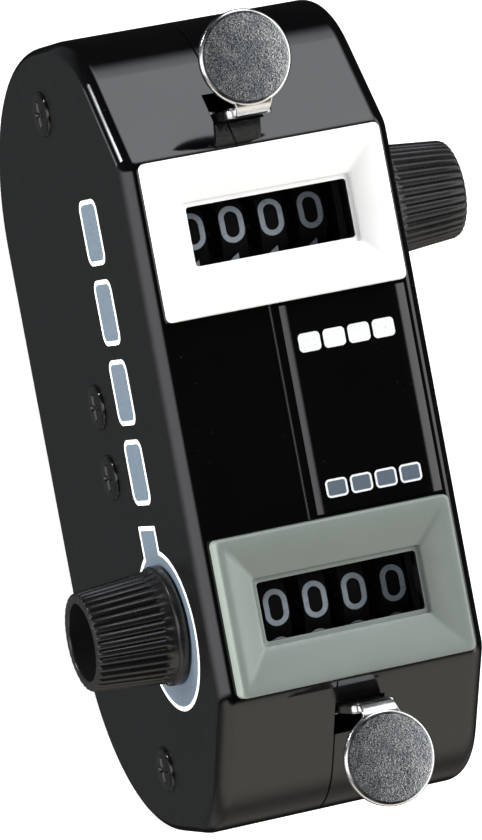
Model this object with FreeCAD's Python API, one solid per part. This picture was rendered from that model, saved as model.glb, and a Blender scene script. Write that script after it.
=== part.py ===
import FreeCAD, Part
import math
import os

from FreeCAD import Vector

# Dual hand tally counter: one two-shell housing with two four-digit mechanisms.
# Millimetres. The counter lies on its flat back: +Z leaves the front face, +Y runs
# along the housing towards the white counter, +X is to the right seen from the front.
# The origin is the centre of the flat back face.
# The grey counter is the white one turned half a turn about Z.

# ---------------------------------------------------------------- housing
half_width = 19.4           # of the housing, along X
half_length = 54.8          # along Y
depth = 57.0                # back face to front face, along Z
wall = 1.8
front_half_length = 36.3    # half length of the flat front face
slant_degrees = 35.0        # slope of the two slanted faces next to the front
front_corner_radius = 4.0
end_corner_radius = 15.0
back_corner_radius = 26.5
side_fillet = 2.2
lip_length = 1.0            # lap joint between the shells
lip_thickness = 0.8
lip_gap = 0.1
groove_width = 0.15         # parting-line groove, on each shell
groove_depth = 0.25

screw_places = [(-45.7, 28.6), (-4.9, 28.6), (4.9, 28.6), (45.7, 28.6)]     # y, z
boss_radius = 3.2
screw_radius = 1.5
screw_gap = 0.02
screw_clearance = 0.2
screw_length = 28.0
screw_head_radius = 3.2
screw_head_height = 0.6
screw_head_round = 0.5
recess_half_length = 1.9    # cross recess in the screw head
recess_half_width = 0.42
recess_depth = 0.45

panel_left = -1.1           # raised label panel on the right shell
panel_right = 17.1
panel_half_length = 14.2
panel_height = 0.5
panel_left_slope = 1.6      # width of its rounded left side
panel_right_slope = 2.6     # and of its rounded right side

# ---------------------------------------------------------------- one counter (white)
unit_offset = -0.9          # x of the wheel pack's and the lever's middle
axis_y = 25.45              # wheel axis
axis_z = 41.6

bezel_y = 25.42
bezel_half_width = 17.0
bezel_half_height = 10.7
bezel_height = 2.3          # above the front face
bezel_corner_radius = 0.8
bezel_edge_round = 0.5
dish_depth = 1.6            # the frame slopes down to the window by this much
ledge_width = 0.77
ledge_depth = 0.5
window_half_width = 11.55
window_half_height = 4.0
window_wall = 1.0           # length of the window's straight wall
spigot_half_width = 13.1
spigot_half_height = 5.9
spigot_length = 1.7
spigot_gap = 0.1
spigot_relief = 0.4
clip_half_height = 2.0
clip_length = 1.3
clip_overhang = 0.5
clip_gap = 0.1

wheel_pitch = 5.7
wheel_names = ["thousands", "hundreds", "tens", "units"]
wheel_radius = 10.6
wheel_band = 3.7            # width of the numbered band
wheel_ring = 0.85           # width of the gear ring and of the locking ring
lock_radius = 7.8
hub_gap = 0.06              # running gap on the shaft
shaft_radius = 1.5
shaft_groove = 0.4

gear_teeth = 20
gear_tip = 9.8
gear_root = 7.9
pinion_teeth = 8
pinion_tip = 4.3
pinion_root = 2.6
pinion_width = 1.5
tooth_tip_share = 0.16      # share of one pitch taken by the tooth at its tip
tooth_root_share = 0.42     # and at its root
pinion_distance = 12.6
pinion_shaft_radius = 1.0
pinion_gap = 0.05

ratchet_teeth = 10
ratchet_tip = 6.2
ratchet_root = 4.9
ratchet_undercut = 0.12     # share of one step taken by a tooth's steep side
ratchet_width = 1.3

plate_thickness = 1.2       # mechanism frame
left_plate_x = -15.1
right_plate_x = 13.4
frame_near_y = 8.6
frame_far_y = 41.2
frame_base_z = 22.5
frame_corner_round = 1.0
frame_outline = [(frame_near_y, frame_base_z, frame_corner_round),           # y, z, radius
                 (frame_far_y, frame_base_z, frame_corner_round), (frame_far_y, 40.0, 4.0),
                 (30.0, 51.0, 5.0), (frame_near_y, 51.0, 4.0)]
pad_places = [(15.5, 27.0), (36.0, 27.0)]                                     # y, z
pad_radius = 2.0
pad_gap = 0.05

pivot_y = 11.0              # lever pivot
pivot_z = 44.5
pivot_radius = 1.25
pivot_gap = 0.05
arm_thickness = 1.0
left_arm_x = -13.5
right_arm_x = 12.0
arm_outline = [(8.2, 41.7, 2.6), (14.0, 41.7, 2.0), (20.0, 46.4, 3.0), (33.0, 45.4, 3.0),
               (39.9, 44.6, 0.6), (39.9, 50.4, 0.6), (20.0, 50.2, 4.0), (8.2, 47.4, 2.6)]
web_thickness = 1.1
web_low = 44.6
web_high = 50.4

stem_inner_y = 39.9
sheet = 1.2                 # thickness of the thumb lever
stem_half_width = 3.25
stem_low = 44.9
shoulder_z = 59.6           # the stem narrows to the neck here
shoulder_round = 0.7
neck_half_width = 2.5
bend_radius = 1.0           # inside of the bend
thumb_top = 62.2
thumb_y = 47.6
thumb_radius = 6.5
thumb_edge = 0.35
rivet_radius = 0.8
rivet_head_radius = 1.3
rivet_head_height = 0.4
rivet_spread = 1.9
rivet_z = 47.5

slot_gap = 0.3
slot_inner_y = 39.5
slot_outer_y = 43.9
slot_low_z = 49.0           # under the slanted wall at the slot's outer end

pawl_x = 10.6
pawl_width = 1.0
pawl_pin_radius = 0.7
pawl_pin_gap = 0.05
drive_pawl_y = 34.5
drive_pawl_z = 47.9
drive_pawl_outline = [(33.0, 46.4, 0.5), (32.4, 43.3, 0.2), (33.5, 43.3, 0.2),
                      (36.1, 46.6, 1.2), (36.1, 49.4, 1.2), (33.0, 49.4, 1.2)]
hold_pawl_y = 15.5
hold_pawl_z = 36.0
hold_pawl_outline = [(13.9, 34.4, 1.3), (17.0, 34.4, 1.3), (18.9, 39.9, 0.2), (18.0, 40.5, 0.2),
                     (13.9, 37.4, 1.2)]

spring_wire = 0.3           # radius of the return spring's wire
spring_coil = 2.1           # radius of the coil's centre line
spring_turns = 5
spring_pitch = 0.9
spring_x = -11.0
spring_leg = 4.5
spring_leg_shares = [1.0, 0.67, 0.33]
spring_steps = 24           # points on each turn

# ---------------------------------------------------------------- reset knob
knob_length = 12.75
knob_rim_radius = 6.85      # over the ribs, at the open end
knob_foot_radius = 7.7      # over the ribs, next to the flare
knob_root_share = 0.95      # radius between the ribs, as a share of the radius over them
knob_ribs = 36
knob_rib_share = 0.5
flange_radius = 8.25
flange_length = 1.3
flare_length = 1.0
knob_gap = 0.3              # flange to housing
knob_recess_radius = 5.3
knob_recess_depth = 8.0
knob_chamfer = 0.5
wall_hole_radius = 2.2

half_turn = 180.0
tolerance = 1e-6


def box(x_low, x_high, y_low, y_high, z_low, z_high):
    return Part.makeBox(x_high - x_low, y_high - y_low, z_high - z_low, Vector(x_low, y_low, z_low))


def rod(y, z, radius, x_low, x_high):
    """A cylinder along X."""
    return Part.makeCylinder(radius, x_high - x_low, Vector(x_low, y, z), Vector(1, 0, 0))


def rounded_wire(corners, x):
    """A closed outline across X, from corners (y, z, radius), with tangent arcs."""
    starts, middles, ends = [], [], []
    count = len(corners)
    for index in range(count):
        y, z, radius = corners[index]
        corner = Vector(x, y, z)
        before = Vector(x, *corners[index - 1][:2]).sub(corner).normalize()
        after = Vector(x, *corners[(index + 1) % count][:2]).sub(corner).normalize()
        half_angle = before.getAngle(after) / 2
        reach = radius / math.tan(half_angle)
        bisector = before.add(after).normalize()
        starts.append(corner + before * reach)
        middles.append(corner + bisector * (radius / math.sin(half_angle) - radius))
        ends.append(corner + after * reach)
    edges = []
    for index in range(count):
        edges.append(Part.Arc(starts[index], middles[index], ends[index]).toShape())
        following = starts[(index + 1) % count]
        if ends[index].distanceToPoint(following) > tolerance:
            edges.append(Part.LineSegment(ends[index], following).toShape())
    return Part.Wire(edges)


def prism(corners, x_low, x_high):
    """A plate between two x values, with the outline of rounded_wire."""
    return Part.Face(rounded_wire(corners, x_low)).extrude(Vector(x_high - x_low, 0, 0))


def polygon_prism(points, x_low, x_high):
    """A plate with straight edges, from points (y, z)."""
    loop = [Vector(x_low, y, z) for y, z in points]
    face = Part.Face(Part.makePolygon(loop + loop[:1]))
    return face.extrude(Vector(x_high - x_low, 0, 0))


def tapered_prism(start_points, x_start, end_points, x_end):
    """A solid with flat sides between two outlines (y, z) with the same number of points."""
    start = [Vector(x_start, y, z) for y, z in start_points]
    end = [Vector(x_end, y, z) for y, z in end_points]
    faces = [Part.Face(Part.makePolygon(loop + loop[:1])) for loop in [start, end]]
    for index in range(len(start)):
        corners = [start[index - 1], start[index], end[index], end[index - 1]]
        faces.append(Part.Face(Part.makePolygon(corners + corners[:1])))
    return Part.Solid(Part.Shell(faces))


def frustum(x_half_low, y_half_low, z_low, x_half_high, y_half_high, z_high, y_middle):
    """A four-sided block that widens from z_low to z_high."""
    wires = []
    for x_half, y_half, z in [(x_half_low, y_half_low, z_low), (x_half_high, y_half_high, z_high)]:
        loop = [Vector(-x_half, y_middle - y_half, z), Vector(x_half, y_middle - y_half, z),
                Vector(x_half, y_middle + y_half, z), Vector(-x_half, y_middle + y_half, z)]
        wires.append(Part.makePolygon(loop + loop[:1]))
    return Part.makeLoft(wires, True, True)


def toothed_points(teeth, tip, root, tip_share, root_share, y, z, first_tooth):
    """Corners (y, z) of a gear with straight-sided teeth, the first tooth at an angle in degrees."""
    pitch = 2 * math.pi / teeth
    points = []
    for tooth in range(teeth):
        middle = math.radians(first_tooth) + tooth * pitch
        for radius, share in [(root, -root_share), (tip, -tip_share),
                              (tip, tip_share), (root, root_share)]:
            angle = middle + share * pitch / 2
            points.append((y + radius * math.cos(angle), z + radius * math.sin(angle)))
    return points


def end_rotated(shape):
    """The same piece of the grey counter: half a turn about the housing's middle."""
    copy = shape.copy()
    copy.rotate(Vector(0, 0, 0), Vector(0, 0, 1), half_turn)
    return copy


# ---------------------------------------------------------------- housing
def housing_corners(inset):
    """The housing's side outline, moved inwards by inset."""
    slope = math.radians(slant_degrees)
    length = half_length - inset
    top = depth - inset
    front = front_half_length - inset * math.tan(slope / 2)
    shoulder = top - (length - front) * math.tan(slope)
    half = [(front, top, front_corner_radius - inset),
            (length, shoulder, end_corner_radius - inset),
            (length, inset, back_corner_radius - inset)]
    mirrored = [(-y, z, radius) for y, z, radius in half]
    return half + mirrored[::-1]


def housing_block():
    block = prism(housing_corners(0), -half_width, half_width)
    side_edges = [edge for edge in block.Edges
                  if abs(abs(edge.CenterOfMass.x) - half_width) < tolerance]
    return block.makeFillet(side_fillet, side_edges)


def housing_openings():
    """What is cut from both shells: bezel seats, lever slots and knob holes."""
    lever_slot_half = stem_half_width + slot_gap
    seat = box(-spigot_half_width - spigot_gap, spigot_half_width + spigot_gap,
               bezel_y - spigot_half_height - spigot_gap, bezel_y + spigot_half_height + spigot_gap,
               depth - 2 * wall, depth + panel_height)
    slot = box(unit_offset - lever_slot_half, unit_offset + lever_slot_half,
               slot_inner_y, slot_outer_y, slot_low_z, depth)
    hole = rod(axis_y, axis_z, wall_hole_radius, half_width - 2 * wall, half_width + wall)
    cutters = [seat, slot, hole]
    return cutters + [end_rotated(cutter) for cutter in cutters]


def seam_x():
    """The parting line runs along the edge of the grey counter's lever slot."""
    return -(stem_half_width + slot_gap + unit_offset)


def shell_ring(outer_inset, inner_inset, x_low, x_high):
    outer = prism(housing_corners(outer_inset), x_low, x_high)
    return outer.cut(prism(housing_corners(inner_inset), x_low, x_high))


def frame_pads(x_low, x_high):
    """Posts that hold both mechanism frames against one side wall."""
    pads = []
    for y, z in pad_places:
        pads.append(rod(y, z, pad_radius, x_low, x_high))
        pads.append(rod(-y, z, pad_radius, x_low, x_high))
    return pads


def half_shell(x_low, x_high, boss_hole):
    """The walls and screw bosses between two x values."""
    cavity = prism(housing_corners(wall), -half_width + wall, half_width - wall)
    walls = housing_block().cut(cavity)
    for y, z in screw_places:
        walls = walls.fuse(rod(y, z, boss_radius, -half_width + wall / 2, half_width - wall / 2))
    slab = box(x_low, x_high, -half_length, half_length, 0, depth)
    shell = walls.common(slab)
    for y, z in screw_places:
        shell = shell.cut(rod(y, z, boss_hole, -half_width - wall, screw_length - half_width + wall))
    return shell


def left_shell():
    seam = seam_x()
    shell = half_shell(-half_width, seam, screw_radius + screw_clearance)
    lip = shell_ring(wall - lip_thickness, wall, seam - lip_length, seam + lip_length)
    shell = shell.fuse(lip)
    left_pads_end = -(right_plate_x + plate_thickness + pad_gap)
    grey_pads = [pad for pad in frame_pads(-half_width + wall / 2, left_pads_end)
                 if pad.CenterOfMass.y < 0]
    white_pads = [pad for pad in frame_pads(-half_width + wall / 2, left_plate_x - pad_gap)
                  if pad.CenterOfMass.y > 0]
    shell = shell.fuse(grey_pads + white_pads)
    shell = shell.cut(shell_ring(0, groove_depth, seam - groove_width, seam))
    return shell.cut(housing_openings()).removeSplitter()


def right_shell():
    seam = seam_x()
    shell = half_shell(seam, half_width, screw_radius + screw_gap)
    lip_room = shell_ring(wall - lip_thickness - lip_gap, wall + lip_gap,
                          seam, seam + lip_length + lip_gap)
    boss_cores = [rod(y, z, boss_radius, seam, seam + lip_length + lip_gap) for y, z in screw_places]
    shell = shell.cut(lip_room.cut(boss_cores))
    white_pads = [pad for pad in frame_pads(right_plate_x + plate_thickness + pad_gap,
                                            half_width - wall / 2) if pad.CenterOfMass.y > 0]
    grey_pads = [pad for pad in frame_pads(-left_plate_x + pad_gap, half_width - wall / 2)
                 if pad.CenterOfMass.y < 0]
    shell = shell.fuse(white_pads + grey_pads + [label_panel()])
    shell = shell.cut(shell_ring(0, groove_depth, seam, seam + groove_width))
    return shell.cut(housing_openings()).removeSplitter()


def slope_arc(x_flat, x_foot):
    """The arc across Y that leaves the panel's flat top and comes down to the front face."""
    top = depth + panel_height
    width = abs(x_foot - x_flat)
    side = math.copysign(1, x_foot - x_flat)
    turn = 2 * math.atan(panel_height / width)
    radius = width / math.sin(turn)
    middle = Vector(x_flat + side * radius * math.sin(turn / 2), 0,
                    top - radius * (1 - math.cos(turn / 2)))
    return Part.Arc(Vector(x_flat, 0, top), middle, Vector(x_foot, 0, depth)).toShape()


def label_panel():
    """A raised field with rounded long sides, and a root that sinks into the wall."""
    root = depth - wall / 2
    top = depth + panel_height
    flat_left = panel_left + panel_left_slope
    flat_right = panel_right - panel_right_slope
    edges = [slope_arc(flat_left, panel_left),
             Part.makeLine(Vector(flat_left, 0, top), Vector(flat_right, 0, top)),
             slope_arc(flat_right, panel_right),
             Part.makeLine(Vector(panel_right, 0, depth), Vector(panel_right, 0, root)),
             Part.makeLine(Vector(panel_right, 0, root), Vector(panel_left, 0, root)),
             Part.makeLine(Vector(panel_left, 0, root), Vector(panel_left, 0, depth))]
    section = Part.Face(Part.Wire(Part.__sortEdges__(edges)))
    panel = section.extrude(Vector(0, 2 * panel_half_length, 0))
    panel.translate(Vector(0, -panel_half_length, 0))
    return panel


def housing_screw(y, z):
    head = rod(y, z, screw_head_radius, -half_width - screw_head_height, -half_width)
    outer_edge = [edge for edge in head.Edges
                  if edge.CenterOfMass.x < -half_width - screw_head_height / 2
                  and len(edge.Vertexes) == 1]
    head = head.makeFillet(screw_head_round, outer_edge)
    top = -half_width - screw_head_height
    for half_y, half_z in [(recess_half_length, recess_half_width),
                           (recess_half_width, recess_half_length)]:
        head = head.cut(box(top, top + recess_depth, y - half_y, y + half_y, z - half_z, z + half_z))
    shank = rod(y, z, screw_radius, -half_width, screw_length - half_width)
    return head.fuse(shank).removeSplitter()


def housing_screws():
    return Part.makeCompound([housing_screw(y, z) for y, z in screw_places])


# ---------------------------------------------------------------- bezel
def bezel():
    top = depth + bezel_height
    dish_floor = top - dish_depth
    ledge_floor = dish_floor - ledge_depth
    plate = box(-bezel_half_width, bezel_half_width, bezel_y - bezel_half_height,
                bezel_y + bezel_half_height, depth, top)
    corner_edges = [edge for edge in plate.Edges
                    if abs(edge.CenterOfMass.z - (depth + top) / 2) < tolerance]
    plate = plate.makeFillet(bezel_corner_radius, corner_edges)
    top_edges = [edge for edge in plate.Edges if abs(edge.BoundBox.ZMin - top) < tolerance]
    plate = plate.makeFillet(bezel_edge_round, top_edges)
    spigot = box(-spigot_half_width, spigot_half_width, bezel_y - spigot_half_height,
                 bezel_y + spigot_half_height, depth - spigot_length, depth)
    solid = plate.fuse(spigot)
    ledge_half_width = window_half_width + ledge_width
    ledge_half_height = window_half_height + ledge_width
    rim = 2 * bezel_edge_round
    solid = solid.cut(frustum(ledge_half_width, ledge_half_height, dish_floor,
                              bezel_half_width - rim, bezel_half_height - rim, top, bezel_y))
    solid = solid.cut(box(-ledge_half_width, ledge_half_width, bezel_y - ledge_half_height,
                          bezel_y + ledge_half_height, ledge_floor, dish_floor))
    solid = solid.cut(box(-window_half_width, window_half_width, bezel_y - window_half_height,
                          bezel_y + window_half_height, depth - spigot_length, ledge_floor))
    solid = solid.cut(box(-window_half_width - spigot_relief, window_half_width + spigot_relief,
                          bezel_y - window_half_height - spigot_relief,
                          bezel_y + window_half_height + spigot_relief,
                          depth - spigot_length, ledge_floor - window_wall))
    return solid.fuse(bezel_clips()).removeSplitter()


def bezel_clips():
    """Snap hooks on the spigot's short sides, which catch behind the housing's wall."""
    clips = []
    hook_top = depth - wall - clip_gap
    for side in [-1, 1]:
        inner = side * (window_half_width + spigot_relief)
        outer = side * spigot_half_width
        tip = side * (spigot_half_width + clip_overhang)
        leg = box(min(inner, outer), max(inner, outer), bezel_y - clip_half_height,
                  bezel_y + clip_half_height, hook_top - clip_length, depth - spigot_length)
        hook = box(min(outer, tip), max(outer, tip), bezel_y - clip_half_height,
                   bezel_y + clip_half_height, hook_top - clip_length, hook_top)
        clips.append(leg.fuse(hook))
    return clips


# ---------------------------------------------------------------- number wheels
def wheel_x(index):
    return unit_offset + (index - 1.5) * wheel_pitch


def wheel(index):
    """A number wheel: band, locking ring on its left, gear ring on its right."""
    middle = wheel_x(index)
    band_left = middle - wheel_band / 2
    band_right = middle + wheel_band / 2
    solid = rod(axis_y, axis_z, wheel_radius, band_left, band_right)
    solid = solid.fuse(rod(axis_y, axis_z, lock_radius, band_left - wheel_ring, band_left))
    if wheel_names[index] == "units":
        ring = rod(axis_y, axis_z, lock_radius, band_right, band_right + wheel_ring)
    else:
        points = toothed_points(gear_teeth, gear_tip, gear_root, tooth_tip_share,
                                tooth_root_share, axis_y, axis_z, -90)
        ring = polygon_prism(points, band_right, band_right + wheel_ring)
    solid = solid.fuse(ring)
    bore = rod(axis_y, axis_z, shaft_radius + hub_gap, band_left - wheel_ring, band_right + wheel_ring)
    return solid.cut(bore).removeSplitter()


def ratchet():
    left = wheel_x(wheel_names.index("units")) + wheel_band / 2 + wheel_ring
    points = []
    step = 2 * math.pi / ratchet_teeth
    for tooth in range(ratchet_teeth):
        for radius, share in [(ratchet_tip, 0.0), (ratchet_root, ratchet_undercut)]:
            angle = (tooth + share) * step
            points.append((axis_y + radius * math.cos(angle), axis_z + radius * math.sin(angle)))
    solid = polygon_prism(points, left, left + ratchet_width)
    return solid.cut(rod(axis_y, axis_z, shaft_radius + hub_gap, left, left + ratchet_width))


def pinion(index):
    """A transfer pinion, between a wheel and the lower wheel on its right."""
    middle = wheel_x(index) + wheel_pitch / 2
    y = axis_y
    z = axis_z - pinion_distance
    points = toothed_points(pinion_teeth, pinion_tip, pinion_root, tooth_tip_share,
                            tooth_root_share, y, z, 90 + half_turn / pinion_teeth)
    solid = polygon_prism(points, middle - pinion_width / 2, middle + pinion_width / 2)
    bore = rod(y, z, pinion_shaft_radius + pinion_gap, middle - pinion_width, middle + pinion_width)
    return solid.cut(bore)


def wheel_shaft():
    end = half_width + knob_length - knob_recess_depth
    shaft = rod(axis_y, axis_z, shaft_radius, left_plate_x, end)
    first = wheel_x(0) - wheel_pitch / 2
    last = wheel_x(len(wheel_names) - 1) + wheel_pitch / 2
    groove = box(first, last, axis_y - shaft_groove, axis_y + shaft_groove,
                 axis_z + shaft_radius - shaft_groove, axis_z + shaft_radius)
    return shaft.cut(groove)


def pinion_shaft():
    return rod(axis_y, axis_z - pinion_distance, pinion_shaft_radius,
               left_plate_x, right_plate_x + plate_thickness)


# ---------------------------------------------------------------- mechanism frame
def mechanism_frame():
    left = prism(frame_outline, left_plate_x, left_plate_x + plate_thickness)
    right = prism(frame_outline, right_plate_x, right_plate_x + plate_thickness)
    base = box(left_plate_x, right_plate_x + plate_thickness, frame_near_y + frame_corner_round,
               frame_far_y - frame_corner_round, frame_base_z, frame_base_z + plate_thickness)
    frame = left.fuse([right, base])
    far_left = left_plate_x
    far_right = right_plate_x + plate_thickness
    frame = frame.cut([
        rod(axis_y, axis_z, shaft_radius + hub_gap, far_left, far_right),
        rod(axis_y, axis_z - pinion_distance, pinion_shaft_radius, far_left, far_right),
        rod(pivot_y, pivot_z, pivot_radius, far_left, far_right),
        rod(hold_pawl_y, hold_pawl_z, pawl_pin_radius, right_plate_x, far_right)])
    return frame.removeSplitter()


# ---------------------------------------------------------------- lever
def lever_yoke():
    left = prism(arm_outline, left_arm_x, left_arm_x + arm_thickness)
    right = prism(arm_outline, right_arm_x, right_arm_x + arm_thickness)
    web = box(left_arm_x, right_arm_x + arm_thickness, stem_inner_y - web_thickness,
              stem_inner_y, web_low, web_high)
    yoke = left.fuse([right, web])
    yoke = yoke.cut(rod(pivot_y, pivot_z, pivot_radius + pivot_gap, -half_width, half_width))
    yoke = yoke.cut(rod(drive_pawl_y, drive_pawl_z, pawl_pin_radius, right_arm_x, half_width))
    return yoke.cut(rivet_shanks()).removeSplitter()


def rivet_shanks():
    low = stem_inner_y - web_thickness
    length = web_thickness + sheet
    return [Part.makeCylinder(rivet_radius, length,
                              Vector(unit_offset + side * rivet_spread, low, rivet_z),
                              Vector(0, 1, 0)) for side in [-1, 1]]


def lever_rivets():
    rivets = []
    low = stem_inner_y - web_thickness - rivet_head_height
    high = stem_inner_y + sheet
    for side, shank in zip([-1, 1], rivet_shanks()):
        x = unit_offset + side * rivet_spread
        heads = [Part.makeCylinder(rivet_head_radius, rivet_head_height, Vector(x, y, rivet_z),
                                   Vector(0, 1, 0)) for y in [low, high]]
        rivets.append(shank.fuse(heads).removeSplitter())
    return Part.makeCompound(rivets)


def thumb_lever():
    """The bent sheet: stem, bend, neck and the round thumb plate."""
    outer_radius = bend_radius + sheet
    bend_y = stem_inner_y + outer_radius
    bend_z = thumb_top - outer_radius
    neck = box(unit_offset - neck_half_width, unit_offset + neck_half_width,
               stem_inner_y, stem_inner_y + sheet, shoulder_z, bend_z)
    stem = box(unit_offset - stem_half_width, unit_offset + stem_half_width,
               stem_inner_y, stem_inner_y + sheet, stem_low, shoulder_z)
    shoulder_edges = [edge for edge in stem.Edges
                      if abs(edge.CenterOfMass.z - shoulder_z) < tolerance
                      and abs(abs(edge.CenterOfMass.x - unit_offset) - stem_half_width) < tolerance]
    stem = stem.makeFillet(shoulder_round, shoulder_edges)
    bend = rod(bend_y, bend_z, outer_radius, unit_offset - neck_half_width,
               unit_offset + neck_half_width)
    bend = bend.cut(rod(bend_y, bend_z, bend_radius, unit_offset - stem_half_width,
                        unit_offset + stem_half_width))
    bend = bend.common(box(unit_offset - neck_half_width, unit_offset + neck_half_width,
                           stem_inner_y, bend_y, bend_z, thumb_top))
    disc = Part.makeCylinder(thumb_radius, sheet, Vector(unit_offset, thumb_y, thumb_top - sheet))
    round_edges = [edge for edge in disc.Edges if len(edge.Vertexes) == 1]
    disc = disc.makeFillet(thumb_edge, round_edges)
    disc = disc.cut(box(unit_offset - thumb_radius, unit_offset + thumb_radius,
                        thumb_y - thumb_radius, bend_y, bend_z, thumb_top))
    lever = stem.fuse([neck, bend, disc])
    return lever.cut(rivet_shanks()).removeSplitter()


def lever_pin():
    return rod(pivot_y, pivot_z, pivot_radius, left_plate_x, right_plate_x + plate_thickness)


def return_spring():
    """A torsion spring round the lever pin: one leg, the coil and the other leg in one wire."""
    length = spring_turns * spring_pitch
    steps = spring_turns * spring_steps
    path = [Vector(spring_x, pivot_y + spring_coil, pivot_z - share * spring_leg)
            for share in spring_leg_shares]
    for step in range(steps + 1):
        angle = 2 * math.pi * step / spring_steps
        path.append(Vector(spring_x + length * step / steps,
                           pivot_y + spring_coil * math.cos(angle),
                           pivot_z + spring_coil * math.sin(angle)))
    path += [Vector(spring_x + length, pivot_y + spring_coil, pivot_z + share * spring_leg)
             for share in reversed(spring_leg_shares)]
    curve = Part.BSplineCurve()
    curve.interpolate(path)
    section = Part.Wire(Part.makeCircle(spring_wire, path[0], Vector(0, 0, 1)))
    return Part.Wire(curve.toShape()).makePipeShell([section], True, False)


def pawl(outline, y, z):
    solid = prism(outline, pawl_x, pawl_x + pawl_width)
    return solid.cut(rod(y, z, pawl_pin_radius + pawl_pin_gap, pawl_x, pawl_x + pawl_width))


def drive_pawl_pin():
    return rod(drive_pawl_y, drive_pawl_z, pawl_pin_radius, pawl_x, right_arm_x + arm_thickness)


def hold_pawl_pin():
    return rod(hold_pawl_y, hold_pawl_z, pawl_pin_radius, pawl_x, right_plate_x + plate_thickness)


# ---------------------------------------------------------------- reset knob
def knob_ribs_outline(tip):
    root = tip * knob_root_share
    return toothed_points(knob_ribs, tip, root, knob_rib_share / 2, knob_rib_share,
                          axis_y, axis_z, 0)


def reset_knob():
    start = half_width + knob_gap
    end = half_width + knob_length
    flare_start = start + flange_length
    ribs_start = flare_start + flare_length
    ribs_end = end - knob_chamfer
    solid = rod(axis_y, axis_z, flange_radius, start, flare_start)
    flare = Part.makeCone(flange_radius, knob_foot_radius, flare_length,
                          Vector(flare_start, axis_y, axis_z), Vector(1, 0, 0))
    ribs = tapered_prism(knob_ribs_outline(knob_foot_radius), ribs_start,
                         knob_ribs_outline(knob_rim_radius), ribs_end)
    rim_root = knob_rim_radius * knob_root_share
    rim = Part.makeCone(rim_root, rim_root - knob_chamfer, knob_chamfer,
                        Vector(ribs_end, axis_y, axis_z), Vector(1, 0, 0))
    solid = solid.fuse([flare, ribs, rim])
    solid = solid.cut(rod(axis_y, axis_z, knob_recess_radius, end - knob_recess_depth, end))
    return solid.cut(rod(axis_y, axis_z, shaft_radius, start, end)).removeSplitter()


# ---------------------------------------------------------------- assembly
def counter_parts():
    """Every piece of the white counter, by name."""
    parts = {
        "bezel": bezel(),
        "frame": mechanism_frame(),
        "wheel_shaft": wheel_shaft(),
        "pinion_shaft": pinion_shaft(),
        "ratchet": ratchet(),
        "lever_yoke": lever_yoke(),
        "lever_rivets": lever_rivets(),
        "thumb_lever": thumb_lever(),
        "lever_pin": lever_pin(),
        "return_spring": return_spring(),
        "drive_pawl": pawl(drive_pawl_outline, drive_pawl_y, drive_pawl_z),
        "drive_pawl_pin": drive_pawl_pin(),
        "hold_pawl": pawl(hold_pawl_outline, hold_pawl_y, hold_pawl_z),
        "hold_pawl_pin": hold_pawl_pin(),
        "reset_knob": reset_knob(),
    }
    for index, name in enumerate(wheel_names):
        parts[name + "_wheel"] = wheel(index)
        if name != "units":
            parts[name + "_pinion"] = pinion(index)
    return parts


def write(name, shape):
    shape.exportStep(os.path.join("parts", name + ".step"))
    print(name, len(shape.Solids), "solids, valid", shape.isValid(), "volume", round(shape.Volume, 2))


def main():
    os.makedirs("parts", exist_ok=True)
    write("left_shell", left_shell())
    write("right_shell", right_shell())
    write("housing_screws", housing_screws())
    for name, shape in counter_parts().items():
        write("white_" + name, shape)
        write("grey_" + name, end_rotated(shape))


main()
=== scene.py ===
import math

import bmesh
import bpy
from mathutils import Matrix, Vector


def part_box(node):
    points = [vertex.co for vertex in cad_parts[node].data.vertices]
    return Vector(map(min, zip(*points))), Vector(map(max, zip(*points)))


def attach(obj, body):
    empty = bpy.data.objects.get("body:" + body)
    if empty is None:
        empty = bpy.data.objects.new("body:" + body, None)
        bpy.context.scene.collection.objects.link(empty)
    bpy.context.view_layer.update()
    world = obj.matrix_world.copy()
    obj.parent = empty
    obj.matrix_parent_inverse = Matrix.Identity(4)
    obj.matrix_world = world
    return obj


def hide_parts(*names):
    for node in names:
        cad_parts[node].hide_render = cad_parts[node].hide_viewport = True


# Looks of the dual hand tally counter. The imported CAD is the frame: the counter lies on its
# flat back, +Z leaves the front face, +Y runs towards the white counter, and the grey counter
# is the white one turned half a turn about Z. Shapes below are in millimetres, built in the
# white counter's place and turned for the grey one.

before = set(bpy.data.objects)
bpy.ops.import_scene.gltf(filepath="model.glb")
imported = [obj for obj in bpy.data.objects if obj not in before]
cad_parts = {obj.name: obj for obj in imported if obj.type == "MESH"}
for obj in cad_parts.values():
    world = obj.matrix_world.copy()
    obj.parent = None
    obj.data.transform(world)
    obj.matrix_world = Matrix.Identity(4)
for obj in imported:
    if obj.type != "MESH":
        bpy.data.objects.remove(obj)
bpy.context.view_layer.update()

MM = 0.001
COUNTERS = [("white", 1), ("grey", -1)]     # name, and the sign of x and y
WHEELS = ["thousands", "hundreds", "tens", "units"]


def box_mm(node):
    low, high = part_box(node)
    return low / MM, high / MM


housing_high = box_mm("right_shell")[1]
SIDE_X = -housing_high.x                    # outer face of the left shell
PANEL_Z = housing_high.z                    # flat top of the label panel

# ---------------------------------------------------------------- shapes
class Shape:
    """Points in millimetres and the faces between them."""

    def __init__(self):
        self.points = []
        self.faces = []

    def loft(self, rings, joined=False, caps=False):
        """Joins rings of equally many points. Joined also closes the last ring onto the first."""
        count = len(rings[0])
        first = len(self.points)
        for ring in rings:
            self.points.extend(ring)
        for span in range(len(rings) if joined else len(rings) - 1):
            near = first + span * count
            far = first + (span + 1) % len(rings) * count
            for index in range(count):
                after = (index + 1) % count
                self.faces.append((near + index, near + after, far + after, far + index))
        if caps:
            last = first + (len(rings) - 1) * count
            self.faces.append(tuple(range(first, first + count)))
            self.faces.append(tuple(range(last, last + count)))


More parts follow.
